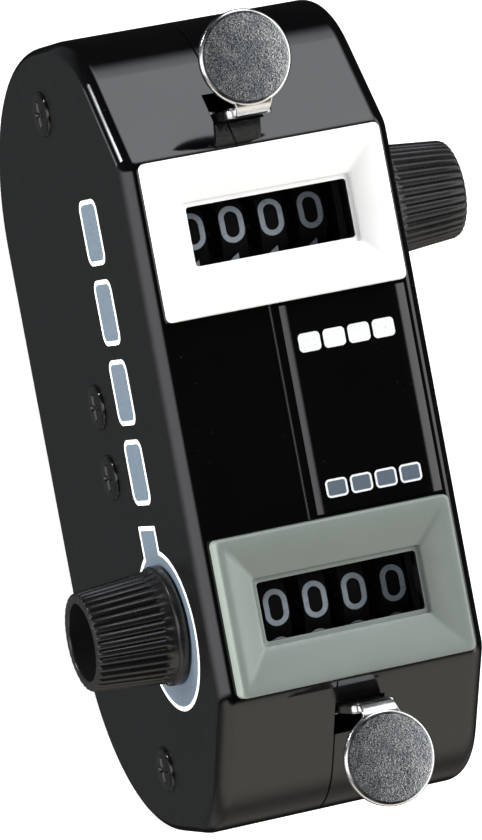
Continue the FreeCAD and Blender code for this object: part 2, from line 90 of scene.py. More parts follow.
def add_piece(name, shape, turn, material, body, replaced=(), crease=35.0):
    """Makes the shape a smooth-shaded piece that rides on a body. Turn is the counter's sign.
    Normals weighted by area keep the large faces flat and the rounding in the small ones."""
    mesh = bpy.data.meshes.new(name)
    points = [Vector((turn * x, turn * y, z)) * MM for x, y, z in shape.points]
    mesh.from_pydata(points, [], shape.faces)
    cleaner = bmesh.new()
    cleaner.from_mesh(mesh)
    bmesh.ops.recalc_face_normals(cleaner, faces=cleaner.faces)
    cleaner.to_mesh(mesh)
    cleaner.free()
    mesh.materials.append(material)
    mesh.shade_smooth()
    mesh.set_sharp_from_angle(angle=math.radians(crease))
    piece = bpy.data.objects.new(name, mesh)
    bpy.context.scene.collection.objects.link(piece)
    weighted = piece.modifiers.new("weighted", "WEIGHTED_NORMAL")
    weighted.keep_sharp = True
    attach(piece, body)
    if replaced:
        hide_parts(*replaced)


def arc(x, y, radius_x, radius_y, start, end, steps=14):
    """Points on an ellipse, from one angle in degrees to another."""
    angles = [math.radians(start + (end - start) * step / steps) for step in range(steps + 1)]
    return [(x + radius_x * math.cos(angle), y + radius_y * math.sin(angle)) for angle in angles]


def rounded_rectangle(half_x, half_y, radius, steps=6):
    outline = []
    for quarter, (side_x, side_y) in enumerate([(1, 1), (-1, 1), (-1, -1), (1, -1)]):
        outline += arc(side_x * (half_x - radius), side_y * (half_y - radius), radius, radius,
                       90 * quarter, 90 * quarter + 90, steps)
    return outline


def rounded_edge(start, corner, end, steps=4):
    """Points of a curve that leaves start, bends towards corner and arrives at end."""
    curve = []
    for step in range(steps + 1):
        share = step / steps
        curve.append(tuple((1 - share) ** 2 * a + 2 * share * (1 - share) * b + share ** 2 * c
                           for a, b, c in zip(start, corner, end)))
    return curve


# ---------------------------------------------------------------- node graphs
MIX_SHARE = 0                   # numbers of a Mix node's sockets for colours
MIX_FIRST = 6
MIX_SECOND = 7
MIX_RESULT = 2


class Graph:
    """A shader node tree, with short calls for the nodes that the finishes share."""

    def __init__(self, tree, coordinates):
        self.tree = tree
        self.position = self.add("ShaderNodeTexCoord").outputs[coordinates]

    def add(self, kind, **settings):
        node = self.tree.nodes.new(kind)
        for name, value in settings.items():
            setattr(node, name, value)
        return node

    def feed(self, socket, value):
        """Links a node's output to the socket, or sets a plain value."""
        if isinstance(value, bpy.types.NodeSocket):
            self.tree.links.new(value, socket)
        else:
            socket.default_value = value

    def math(self, operation, first, second=0.0):
        node = self.add("ShaderNodeMath", operation=operation)
        self.feed(node.inputs[0], first)
        self.feed(node.inputs[1], second)
        return node.outputs[0]

    def times(self, *factors):
        result = factors[0]
        for factor in factors[1:]:
            result = self.math("MULTIPLY", result, factor)
        return result

    def split(self, vector):
        node = self.add("ShaderNodeSeparateXYZ")
        self.feed(node.inputs[0], vector)
        return node.outputs

    def ramp(self, value, low, high, start=0.0, end=1.0):
        """Goes smoothly from start to end while the value goes from low to high."""
        node = self.add("ShaderNodeMapRange", interpolation_type="SMOOTHSTEP")
        self.feed(node.inputs["Value"], value)
        limits = {"From Min": low, "From Max": high, "To Min": start, "To Max": end}
        for name, number in limits.items():
            self.feed(node.inputs[name], number)
        return node.outputs["Result"]

    def mix(self, kind, share, first, second):
        node = self.add("ShaderNodeMix", data_type="RGBA", blend_type=kind)
        self.feed(node.inputs[MIX_SHARE], share)
        self.feed(node.inputs[MIX_FIRST], first)
        self.feed(node.inputs[MIX_SECOND], second)
        return node.outputs[MIX_RESULT]

    def blend(self, share, first, second):
        """A colour between two colours."""
        return self.mix("MIX", share, first, second)

    def plus(self, first, second):
        """The sum of two colours."""
        return self.mix("ADD", 1.0, first, second)

    def stretched(self, scale):
        """The position with each axis scaled, for grain that runs one way."""
        node = self.add("ShaderNodeMapping")
        self.feed(node.inputs["Vector"], self.position)
        node.inputs["Scale"].default_value = scale
        return node.outputs["Vector"]

    def noise(self, size, detail=3.0, vector=None):
        """Cloudy variation from 0 to 1, with features of about that many millimetres."""
        node = self.add("ShaderNodeTexNoise")
        self.feed(node.inputs["Vector"], vector or self.position)
        node.inputs["Scale"].default_value = 1 / (size * MM)
        node.inputs["Detail"].default_value = detail
        return node.outputs["Fac"]

    def cells(self, size):
        """Distance to the nearest point of a random scatter, in cells of that many millimetres."""
        node = self.add("ShaderNodeTexVoronoi", feature="F1")
        self.feed(node.inputs["Vector"], self.position)
        node.inputs["Scale"].default_value = 1 / (size * MM)
        return node.outputs["Distance"]


class Finish(Graph):
    """A material round one Principled shader."""

    def __init__(self, name):
        self.material = bpy.data.materials.new("look_" + name)
        self.material.use_nodes = True
        super().__init__(self.material.node_tree, "Object")
        self.surface = self.tree.nodes["Principled BSDF"]

    def set(self, **values):
        for name, value in values.items():
            self.feed(self.surface.inputs[name.replace("_", " ").title().replace("Ior", "IOR")], value)

    def bump(self, height, depth):
        """Raises the surface by the height, from 0 to 1, times the depth in millimetres."""
        node = self.add("ShaderNodeBump")
        node.inputs["Distance"].default_value = depth * MM
        self.feed(node.inputs["Height"], height)
        before = self.surface.inputs["Normal"]
        if before.is_linked:
            self.feed(node.inputs["Normal"], before.links[0].from_socket)
        self.feed(before, node.outputs["Normal"])

    def normal(self):
        return self.split(self.tree.nodes["Texture Coordinate"].outputs["Normal"])

    def edges(self, low, high):
        """1 on rounded and worn outer edges, 0 on flat surfaces."""
        curvature = self.add("ShaderNodeNewGeometry").outputs["Pointiness"]
        return self.ramp(curvature, low, high)


def rgb(red, green, blue):
    return (red, green, blue, 1.0)


def grey(level):
    return rgb(level, level, level)


def dimmed(color, share):
    return rgb(*(share * channel for channel in color[:3]))


WEAR = 0.6                      # share of the worn colour where an edge is rubbed most
DUST = 0.25                     # share of the dust colour on a speck
SHADE_EDGE = 0.05               # height over which the painted shade inside a bezel's window fades in
WINDOW_SHADE_Z = 57.0           # the bezels' window walls are painted near black below this height, as painted shade


def plastic(name, color, worn_color, roughness, texture_size, texture_depth, painted_shade_below=None):
    """Moulded plastic: faint clouding, a fine skin and edges rubbed a little lighter.
    A bezel's window walls are painted near black below that many millimetres, as painted shade."""
    finish = Finish(name)
    cloud = finish.noise(6.0)
    patches = finish.ramp(finish.noise(0.8), 0.1, 0.6)
    worn = finish.times(finish.edges(0.54, 0.72), patches, WEAR)
    shade = finish.blend(worn, finish.blend(cloud, dimmed(color, 0.93), color), worn_color)
    # Painted shade: below that height the window walls turn near black, standing in for the shade
    # inside the window.
    if painted_shade_below:
        height = finish.split(finish.position)[2]
        depth = finish.ramp(height, (painted_shade_below - SHADE_EDGE) * MM, painted_shade_below * MM,
                            start=1.0, end=0.0)
        shade = finish.blend(depth, shade, grey(0.002))
    finish.set(base_color=shade)
    smear = finish.ramp(finish.noise(2.5, 5.0), 0.3, 0.7,
                        start=roughness * 0.85, end=roughness * 1.2)
    finish.set(roughness=smear)
    finish.bump(finish.noise(texture_size), texture_depth)
    return finish.material


def housing_black():
    """Polished black ends and front; the two flat sides have a fine satin texture."""
    finish = Finish("housing_black")
    sideways = finish.math("ABSOLUTE", finish.normal()[0])
    satin = finish.ramp(sideways, 0.90, 0.985)
    specks = finish.ramp(finish.cells(1.3), 0.10, 0.04)
    dust = finish.times(specks, finish.ramp(finish.noise(9.0), 0.45, 0.75), DUST)
    polish = finish.blend(finish.noise(12.0), rgb(0.0012, 0.0013, 0.0016),
                          rgb(0.0022, 0.0022, 0.0024))
    skin = finish.blend(finish.noise(0.5, 4.0), rgb(0.0022, 0.0024, 0.0026),
                        rgb(0.0036, 0.0038, 0.0040))
    plain = finish.blend(satin, polish, skin)
    finish.set(base_color=finish.blend(dust, plain, grey(0.12)))
    gloss = finish.ramp(finish.noise(5.0, 4.0), 0.3, 0.75, start=0.05, end=0.10)
    dull = finish.ramp(finish.noise(3.0, 4.0), 0.3, 0.7, start=0.34, end=0.42)
    shiny = finish.math("SUBTRACT", 1.0, satin)
    finish.set(roughness=finish.math("ADD", finish.times(satin, dull), finish.times(shiny, gloss)))
    finish.bump(finish.noise(4.0, 1.0), 0.004)
    finish.bump(finish.times(satin, finish.noise(0.35, 2.0)), 0.008)
    return finish.material


def metal(name, color, grain, roughness, depth):
    """Sheet or drawn metal, with a grain that runs along the axis of the smallest scale."""
    finish = Finish(name)
    lines = finish.noise(0.25, 4.0, finish.stretched(grain))
    tint = finish.ramp(finish.noise(4.0), 0.3, 0.7)
    finish.set(base_color=finish.blend(tint, dimmed(color, 0.72), color), metallic=1.0)
    finish.set(roughness=finish.ramp(lines, 0.3, 0.7, start=roughness * 0.8, end=roughness * 1.3))
    finish.bump(lines, depth)
    return finish.material


def thumb_polish():
    """The lever's bright nickel, with hairlines and slight clouding."""
    finish = Finish("thumb_polish")
    cloud = finish.noise(1.6, 4.0)
    color = finish.blend(cloud, rgb(0.62, 0.62, 0.63), grey(0.80))
    hairlines = finish.noise(0.12, 3.0, finish.stretched((1.0, 0.12, 0.12)))
    finish.set(base_color=color, metallic=1.0)
    finish.set(roughness=finish.ramp(cloud, 0.3, 0.7, start=0.16, end=0.28))
    finish.bump(hairlines, 0.004)
    return finish.material


def thumb_stipple():
    """The peened grip: a fine sparkle of small hammered facets over slow dark clouds."""
    finish = Finish("thumb_stipple")
    coarse = finish.noise(0.34, 2.0)
    fine = finish.noise(0.12, 2.0)
    height = finish.math("ADD", finish.times(coarse, 0.6), finish.times(fine, 0.5))
    cloud = finish.ramp(finish.noise(1.8, 3.0), 0.35, 0.65)
    color = finish.blend(cloud, rgb(0.54, 0.58, 0.62), rgb(0.82, 0.84, 0.86))
    finish.set(base_color=color, metallic=1.0)
    finish.set(roughness=finish.ramp(fine, 0.3, 0.7, start=0.16, end=0.30))
    finish.bump(height, 0.070)
    return finish.material


def paint(name, color, worn_color):
    """Pad-printed ink: slightly uneven cover and a thin film's soft gloss."""
    finish = Finish(name)
    cover = finish.ramp(finish.noise(0.5, 4.0), 0.25, 0.50)
    finish.set(base_color=finish.blend(cover, worn_color, color))
    finish.set(roughness=finish.ramp(finish.noise(0.4), 0.3, 0.7, start=0.42, end=0.58))
    finish.bump(finish.noise(0.25, 3.0), 0.006)
    return finish.material


def wheel_black():
    """Matt moulded wheels, a little dusty."""
    finish = Finish("wheel_black")
    dust = finish.ramp(finish.noise(1.2, 5.0), 0.45, 0.75)
    finish.set(base_color=finish.blend(dust, grey(0.0015), grey(0.004)), roughness=0.68)
    finish.set(specular_ior_level=0.15)
    finish.bump(finish.noise(0.3, 3.0), 0.012)
    return finish.material


FLOOR_GLOW = 0.60               # lifts the paper to white without lighting the counter more


def floor_paper():
    finish = Finish("floor_paper")
    finish.set(base_color=finish.blend(finish.noise(60.0), grey(0.80), grey(0.84)), roughness=0.9)
    finish.set(emission_color=grey(1.0), emission_strength=FLOOR_GLOW)
    finish.bump(finish.noise(1.5, 5.0), 0.02)
    return finish.material


looks = {
    "housing_black": housing_black(),
    "bezel_white": plastic("bezel_white", rgb(0.90, 0.91, 0.90), grey(0.92), roughness=0.34,
                           texture_size=0.3, texture_depth=0.005, painted_shade_below=WINDOW_SHADE_Z),
    "bezel_grey": plastic("bezel_grey", rgb(0.185, 0.213, 0.194), grey(0.30), roughness=0.36,
                          texture_size=0.3, texture_depth=0.005, painted_shade_below=WINDOW_SHADE_Z),
    "knob_black": plastic("knob_black", rgb(0.0090, 0.0090, 0.0095), grey(0.04), roughness=0.25,
                          texture_size=0.35, texture_depth=0.008),
    "wheel_black": wheel_black(),
    "pinion_natural": plastic("pinion_natural", grey(0.10), grey(0.16), roughness=0.45,
                              texture_size=0.4, texture_depth=0.006),
    "thumb_nickel": thumb_polish(),
    "steel": metal("steel", rgb(0.50, 0.50, 0.51), grain=(0.1, 1.0, 1.0), roughness=0.30,
                   depth=0.004),
    "frame_steel": metal("frame_steel", rgb(0.10, 0.10, 0.105), grain=(1.0, 0.08, 1.0),
                         roughness=0.42, depth=0.006),
    "screw_black": plastic("screw_black", grey(0.003), grey(0.07), roughness=0.13,
                           texture_size=0.5, texture_depth=0.003),
}
stipple = thumb_stipple()
white_ink = paint("white_ink", rgb(0.74, 0.76, 0.77), rgb(0.62, 0.64, 0.65))
blue_ink = paint("blue_ink", rgb(0.085, 0.112, 0.142), rgb(0.068, 0.09, 0.114))
numeral_ink = paint("numeral_ink", rgb(0.28, 0.32, 0.36), rgb(0.20, 0.23, 0.26))

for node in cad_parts.values():
    for material_slot in node.material_slots:
        material_slot.material = looks[material_slot.material.name.split(".")[0]]

# ---------------------------------------------------------------- bezels
RIM_ROUND = 0.5                 # outer edge of the bezel
RIM_WIDTH = 1.0                 # outer edge to the start of the dish
PLATE_HEIGHT = 2.3              # of the bezel above the housing's front face
DISH_DEPTH = 1.6
DISH_STEPS = 10
DISH_CURVE = 1.35               # 1 is a straight slope, more leaves the rim in a rounder way
LEDGE_WIDTH = 0.77
LEDGE_DEPTH = 0.5
WINDOW_HALF_WIDTH = 11.55
WINDOW_HALF_HEIGHT = 4.0
WINDOW_WALL = 1.0
PLATE_CORNER = 0.8              # corner radii, from the outside to the window
DISH_CORNER = 0.6
LEDGE_CORNER = 0.5
WINDOW_CORNER = 0.45
LEDGE_EDGE_INSET = 0.08         # broken edge where the dish drops to the ledge
LEDGE_EDGE_DROP = 0.06
LEDGE_FOOT_INSET = 0.10         # rounded foot of that drop
LEDGE_FOOT_RISE = 0.05
LEDGE_FLAT_INSET = 0.16         # start of the ledge's flat
WINDOW_EDGE_ROUND = 0.12
SPIGOT_HALF_WIDTH = 13.1
SPIGOT_HALF_HEIGHT = 5.9
SPIGOT_DEPTH = 1.7
SPIGOT_RELIEF = 0.4
CLIP_HALF_HEIGHT = 2.0
CLIP_OVERHANG = 0.5
CLIP_LENGTH = 1.3
CLIP_ROUND = 0.1


def bezel_section(half_x, half_y, top):
    """(half width, half height, corner radius, z) of each ring, round the bezel's section."""
    seat = top - PLATE_HEIGHT
    floor = top - DISH_DEPTH
    ledge = floor - LEDGE_DEPTH
    foot = seat - SPIGOT_DEPTH
    outer_x, outer_y = half_x - RIM_WIDTH, half_y - RIM_WIDTH
    inner_x, inner_y = WINDOW_HALF_WIDTH + LEDGE_WIDTH, WINDOW_HALF_HEIGHT + LEDGE_WIDTH
    rings = [(half_x, half_y, PLATE_CORNER, seat)]
    for inset, z in rounded_edge((0, top - RIM_ROUND), (0, top), (RIM_ROUND, top)):
        rings.append((half_x - inset, half_y - inset, PLATE_CORNER, z))
    for step in range(DISH_STEPS + 1):
        share = step / DISH_STEPS
        rings.append((outer_x + (inner_x - outer_x) * share, outer_y + (inner_y - outer_y) * share,
                      DISH_CORNER, top - DISH_DEPTH * share ** DISH_CURVE))
    for inset, z in [(LEDGE_EDGE_INSET, floor - LEDGE_EDGE_DROP),
                     (LEDGE_FOOT_INSET, ledge + LEDGE_FOOT_RISE), (LEDGE_FLAT_INSET, ledge)]:
        rings.append((inner_x - inset, inner_y - inset, LEDGE_CORNER, z))
    for inset, z in rounded_edge((WINDOW_EDGE_ROUND, ledge), (0, ledge),
                                 (0, ledge - WINDOW_EDGE_ROUND)):
        rings.append((WINDOW_HALF_WIDTH + inset, WINDOW_HALF_HEIGHT + inset, WINDOW_CORNER, z))
    rings.append((WINDOW_HALF_WIDTH, WINDOW_HALF_HEIGHT, WINDOW_CORNER, ledge - WINDOW_WALL))
    relief_x, relief_y = WINDOW_HALF_WIDTH + SPIGOT_RELIEF, WINDOW_HALF_HEIGHT + SPIGOT_RELIEF
    rings.append((relief_x, relief_y, WINDOW_CORNER, ledge - WINDOW_WALL))
    rings.append((relief_x, relief_y, WINDOW_CORNER, foot))
    rings.append((SPIGOT_HALF_WIDTH, SPIGOT_HALF_HEIGHT, WINDOW_CORNER, foot))
    rings.append((SPIGOT_HALF_WIDTH, SPIGOT_HALF_HEIGHT, WINDOW_CORNER, seat))
    return rings


def bezel():
    low, high = box_mm("white_bezel")
    middle = (low + high) / 2
    half_x, half_y = (high.x - low.x) / 2, (high.y - low.y) / 2
    shape = Shape()
    rings = []
    for ring_half_x, ring_half_y, radius, z in bezel_section(half_x, half_y, high.z):
        outline = rounded_rectangle(ring_half_x, ring_half_y, radius)
        rings.append([(middle.x + x, middle.y + y, z) for x, y in outline])
    shape.loft(rings, joined=True)
    for side in [-1, 1]:
        inner, outer = WINDOW_HALF_WIDTH + SPIGOT_RELIEF, SPIGOT_HALF_WIDTH + CLIP_OVERHANG
        hook = rounded_rectangle((outer - inner) / 2, CLIP_HALF_HEIGHT, CLIP_ROUND, steps=1)
        x_middle = middle.x + side * (inner + outer) / 2
        shape.loft([[(x_middle + x, middle.y + y, z) for x, y in hook]
                    for z in [low.z, low.z + CLIP_LENGTH]], caps=True)
    return shape


for counter, turn in COUNTERS:
    add_piece(counter + "_bezel_face", bezel(), turn, looks["bezel_" + counter], "housing",
              [counter + "_bezel"])

# ---------------------------------------------------------------- thumb levers
SHEET = 1.2
SHEET_ROUND = 0.28
BEND_RADIUS = 2.2               # of the bend's outer surface
NECK_DROP = 0.28                # the neck's top lies this far under the grip's
STEM_HALF_WIDTH = 3.25
WAIST_HALF_WIDTH = 2.4
FLARE_HALF_WIDTH = 2.9
FLARE_CURVE = 2.5               # more keeps the neck narrow further round the bend
SHOULDER = 0.8
DISC_RADIUS = 6.5
GRIP_RADIUS = 5.85
GRIP_DEPTH = 0.3                # the grip is let into the sheet this far
GRIP_OVERLAP = 0.2              # the sheet reaches this far in under the grip
CROWN = 0.16                    # the grip's edge lies this far under its middle
CROWN_CURVE = 3                 # more keeps the grip's middle flatter
CROWN_SHARES = [1.0, 0.85, 0.65, 0.4, 0.1]      # of the radius, where the dome has rings
RIM_GAP = 0.05                  # flat round the grip, before the rim's rounding
RIM_DROP = 0.65                 # the rim's rounding ends this far under the top
FLAT_DROP = 0.01                # how far the flat falls before the rounding
CORNER_DROP = 0.05              # and the rounding's control point
BOTTOM_RISE = 0.2               # rounding of the lower edge
BOTTOM_INSET = 0.3
BOTTOM_HOLE = 0.5               # radius of the ring in the middle of the underside
DISC_POINTS = 96
BEND_STEPS = 14


def sheet_ring(x, y, z, angle, half_width):
    """The sheet's cross-section: (y, z) on its outer surface, at an angle from upright."""
    along = math.radians(angle)
    outward = (-math.cos(along), math.sin(along))
    outline = rounded_rectangle(half_width, SHEET / 2, SHEET_ROUND, steps=4)
    return [(x + across, y + outward[0] * (rise - SHEET / 2), z + outward[1] * (rise - SHEET / 2))
            for across, rise in outline]


def lever_strip(x, low, top):
    """The stem, its shoulders and the neck round the bend."""
    stem_y = low.y
    bend_y = stem_y + BEND_RADIUS
    bend_z = top - NECK_DROP - BEND_RADIUS
    rings = [sheet_ring(x, stem_y, low.z, 0, STEM_HALF_WIDTH - SHEET_ROUND),
             sheet_ring(x, stem_y, low.z + SHEET_ROUND, 0, STEM_HALF_WIDTH),
             sheet_ring(x, stem_y, bend_z - SHOULDER, 0, STEM_HALF_WIDTH)]
    narrowing = STEM_HALF_WIDTH - WAIST_HALF_WIDTH
    for across, rise in arc(0, 0, narrowing, SHOULDER, start=10, end=80, steps=5):
        rings.append(sheet_ring(x, stem_y, bend_z - SHOULDER + rise, 0, WAIST_HALF_WIDTH + across))
    for step in range(BEND_STEPS + 1):
        share = step / BEND_STEPS
        angle = 90 * share
        flare = WAIST_HALF_WIDTH + (FLARE_HALF_WIDTH - WAIST_HALF_WIDTH) * share ** FLARE_CURVE
        rings.append(sheet_ring(x, bend_y - BEND_RADIUS * math.cos(math.radians(angle)),
                                bend_z + BEND_RADIUS * math.sin(math.radians(angle)), angle, flare))
    rings.append(sheet_ring(x, bend_y + SHEET, top - NECK_DROP, 90, FLARE_HALF_WIDTH))
    return rings


def disc_rings(x, y, profile):
    """Rings of a shape turned about an upright axis, from (radius, z) points."""
    rings = []
    for radius, z in profile:
        rings.append([(x + radius * math.cos(2 * math.pi * index / DISC_POINTS),
                       y + radius * math.sin(2 * math.pi * index / DISC_POINTS), z)
                      for index in range(DISC_POINTS)])
    return rings


def disc_rim(top):
    """(radius, z) from under the grip, over the rounded rim, to the middle of the underside."""
    edge = top - CROWN
    bottom = top - SHEET
    profile = [(GRIP_RADIUS - GRIP_OVERLAP, top - GRIP_DEPTH), (GRIP_RADIUS, edge)]
    profile += rounded_edge((GRIP_RADIUS + RIM_GAP, edge - FLAT_DROP),
                            (DISC_RADIUS, edge - CORNER_DROP), (DISC_RADIUS, top - RIM_DROP), steps=9)
    profile += rounded_edge((DISC_RADIUS, bottom + BOTTOM_RISE), (DISC_RADIUS, bottom),
                            (DISC_RADIUS - BOTTOM_INSET, bottom), steps=3)
    return profile + [(BOTTOM_HOLE, bottom)]


def grip_dome(top):
    profile = [(GRIP_RADIUS, top - GRIP_DEPTH)]
    for share in CROWN_SHARES:
        profile.append((GRIP_RADIUS * share, top - CROWN * share ** CROWN_CURVE))
    return profile


lever_low, lever_high = box_mm("white_thumb_lever")
lever_x = (lever_low.x + lever_high.x) / 2
disc_y = lever_high.y - DISC_RADIUS
for counter, turn in COUNTERS:
    lever = Shape()
    lever.loft(lever_strip(lever_x, lever_low, lever_high.z), caps=True)
    lever.loft(disc_rings(lever_x, disc_y, disc_rim(lever_high.z)), caps=True)
    add_piece(counter + "_lever_sheet", lever, turn, looks["thumb_nickel"], counter + "_lever",
              [counter + "_thumb_lever"])
    grip = Shape()
    grip.loft(disc_rings(lever_x, disc_y, grip_dome(lever_high.z)), caps=True)
    add_piece(counter + "_lever_grip", grip, turn, stipple, counter + "_lever")

# ---------------------------------------------------------------- reset knobs
RIBS = 36
POINTS_PER_RIB = 8
RIB_DEPTH = 0.40
RIB_CURVE = 0.7                 # less makes the ribs flatter and their grooves sharper
FLANGE_LENGTH = 1.3
FLANGE_BREAK = 0.3              # broken edge on the housing's side
FLANGE_BREAK_LENGTH = 0.1
FLANGE_ROUND = 0.35             # rounded edge on the cone's side
CONE_LENGTH = 1.0
FOOT_RADIUS = 7.7               # over the ribs, next to the flange's cone
FOOT_TAPER = 0.05
RIB_START = 0.35                # the grooves start here and have their full depth at RIB_FULL
RIB_START_SHARE = 0.7           # of their depth
RIB_FULL = 0.8
RIB_END = 0.7                   # straight ribs end this far before the open end
RIB_SHARES = [0.35, 0.7, 1.0]   # of the straight ribs' length, where there are rings
RIM_RADIUS = 6.85               # over the ribs, at the open end
RIM_START = 0.45                # the open end's rounding starts this far before it
RIM_START_DROP = 0.08
RIM_MIDDLE = 0.05
RIM_MIDDLE_DROP = 0.15
RIM_END_DROP = 0.75
RECESS_RADIUS = 5.3
RECESS_DEPTH = 8.0
RECESS_ROUND = 0.35
RECESS_ROUND_LENGTH = 0.4
RECESS_TAPERS = [0.02, 0.25, 0.65]      # at its mouth, near its floor and on its floor
BORE_RADIUS = 1.2


def knob_ring(x, radius, groove, y, z):
    """A ring about the knob's axis, with rounded ribs whose grooves are that deep."""
    ring = []
    count = RIBS * POINTS_PER_RIB
    for index in range(count):
        wave = abs(math.sin(math.pi * index / POINTS_PER_RIB))
        reach = radius - groove * (1 - wave ** RIB_CURVE)
        angle = 2 * math.pi * index / count
        ring.append((x, y + reach * math.cos(angle), z + reach * math.sin(angle)))
    return ring


def flange_profile(start, radius):
    """(x, radius, groove depth) along the smooth flange, up to the cone."""
    cone = start + FLANGE_LENGTH
    profile = [(start, radius - FLANGE_BREAK, 0.0), (start + FLANGE_BREAK_LENGTH, radius, 0.0)]
    for x, reach in rounded_edge((cone - FLANGE_ROUND, radius), (cone, radius),
                                 (cone + FLANGE_BREAK_LENGTH, radius - FLANGE_ROUND)):
        profile.append((x, reach, 0.0))
    return profile


def rib_profile(foot, end):
    """The same along the ribs, from the cone's foot to the rounded open end."""
    first, last = foot + RIB_FULL, end - RIB_END
    first_radius = FOOT_RADIUS - FOOT_TAPER
    profile = [(foot, FOOT_RADIUS, 0.0), (foot + RIB_START, FOOT_RADIUS, RIB_DEPTH * RIB_START_SHARE),
               (first, first_radius, RIB_DEPTH)]
    for share in RIB_SHARES:
        profile.append((first + (last - first) * share,
                        first_radius + (RIM_RADIUS - first_radius) * share, RIB_DEPTH))
    for x, radius in rounded_edge((end - RIM_START, RIM_RADIUS - RIM_START_DROP),
                                  (end - RIM_MIDDLE, RIM_RADIUS - RIM_MIDDLE_DROP),
                                  (end, RIM_RADIUS - RIM_END_DROP)):
        profile.append((x, radius, RIB_DEPTH * min(1.0, (end - x) / RIM_START) ** 0.5))
    return profile


def recess_profile(end):
    """The same down the recess in the open end."""
    floor = end - RECESS_DEPTH
    mouth_taper, wall_taper, floor_taper = RECESS_TAPERS
    profile = []
    for x, radius in rounded_edge((end, RECESS_RADIUS + RECESS_ROUND), (end, RECESS_RADIUS),
                                  (end - RECESS_ROUND_LENGTH, RECESS_RADIUS - mouth_taper)):
        profile.append((x, radius, 0.0))
    return profile + [(floor + RECESS_ROUND_LENGTH, RECESS_RADIUS - wall_taper, 0.0),
                      (floor, RECESS_RADIUS - floor_taper, 0.0), (floor, BORE_RADIUS, 0.0)]


def knob():
    low, high = box_mm("white_reset_knob")
    y, z = (low.y + high.y) / 2, (low.z + high.z) / 2
    foot = low.x + FLANGE_LENGTH + CONE_LENGTH
    profile = (flange_profile(low.x, (high.y - low.y) / 2) + rib_profile(foot, high.x)
               + recess_profile(high.x))
    shape = Shape()
    shape.loft([knob_ring(x, radius, groove, y, z) for x, radius, groove in profile], caps=True)
    return shape


for counter, turn in COUNTERS:
    add_piece(counter + "_knob", knob(), turn, looks["knob_black"], counter + "_reset",
              [counter + "_reset_knob"], crease=50.0)

# ---------------------------------------------------------------- housing screws
SCREW_Y = [-45.7, -4.9, 4.9, 45.7]
HEAD_RADIUS = 3.2
HEAD_ROUND = 0.42
HEAD_CROWN = 0.16               # the head's middle stands this far over its edge
HEAD_POINTS = 96
HEAD_RINGS = 26
SHANK_RADIUS = 1.5
RECESS_HALF_LENGTH = 1.9
RECESS_HALF_WIDTH = 0.42
CROSS_DEPTH = 0.42
CROSS_TAPER = 0.22              # width of the recess's sloping sides
CROSS_END_SLOPE = 0.6           # the arms' ends slope more gently, by this share


def cross_recess(across, along):
    """How deep the cross recess is at a point of the head."""
    arms = []
    for a, b in [(abs(across), abs(along)), (abs(along), abs(across))]:
        inside = min(RECESS_HALF_WIDTH - a, (RECESS_HALF_LENGTH - b) * CROSS_END_SLOPE)
        arms.append(max(0.0, min(1.0, inside / CROSS_TAPER)))
    return CROSS_DEPTH * max(arms)


def screw_head(shape, y):
    low, high = box_mm("housing_screws")
    z = (low.z + high.z) / 2
    face = low.x
    rings = []
    for index in range(1, HEAD_RINGS + 1):
        share = index / HEAD_RINGS
        radius = HEAD_RADIUS * math.sin(share * math.pi / 2)
        crown = HEAD_CROWN * (radius / HEAD_RADIUS) ** 2
        edge = max(0.0, radius - (HEAD_RADIUS - HEAD_ROUND))
        drop = crown + HEAD_ROUND - math.sqrt(max(0.0, HEAD_ROUND ** 2 - edge ** 2))
        ring = []
        for point in range(HEAD_POINTS):
            angle = 2 * math.pi * point / HEAD_POINTS
            across, along = radius * math.cos(angle), radius * math.sin(angle)
            ring.append((face + drop + cross_recess(across, along), y + across, z + along))
        rings.append(ring)
    for x, radius in [(SIDE_X, HEAD_RADIUS), (SIDE_X, SHANK_RADIUS), (high.x, SHANK_RADIUS)]:
        rings.append([(x, y + radius * math.cos(2 * math.pi * point / HEAD_POINTS),
                       z + radius * math.sin(2 * math.pi * point / HEAD_POINTS))
                      for point in range(HEAD_POINTS)])
    shape.loft(rings, caps=True)


screws = Shape()
for screw_y in SCREW_Y:
    screw_head(screws, screw_y)
add_piece("screw_heads", screws, 1, looks["screw_black"], "housing",
          ["housing_screws"], crease=40.0)

# ---------------------------------------------------------------- numerals
STROKE = 0.74
DIGIT_HALF_WIDTH = 1.34         # of the strokes' centre lines
DIGIT_HALF_HEIGHT = 2.15
INK_HEIGHT = 0.03
DIGIT_STEP = 36.0               # degrees between digits
WHITE_LEAD = 3.8                # the white wheels' numerals lie this many degrees further round
LONGEST_STEP = 0.4              # along a stroke, short enough to follow the wheel's curve
SHARPEST_BEND = 0.6             # keeps a stroke's corners from reaching out too far


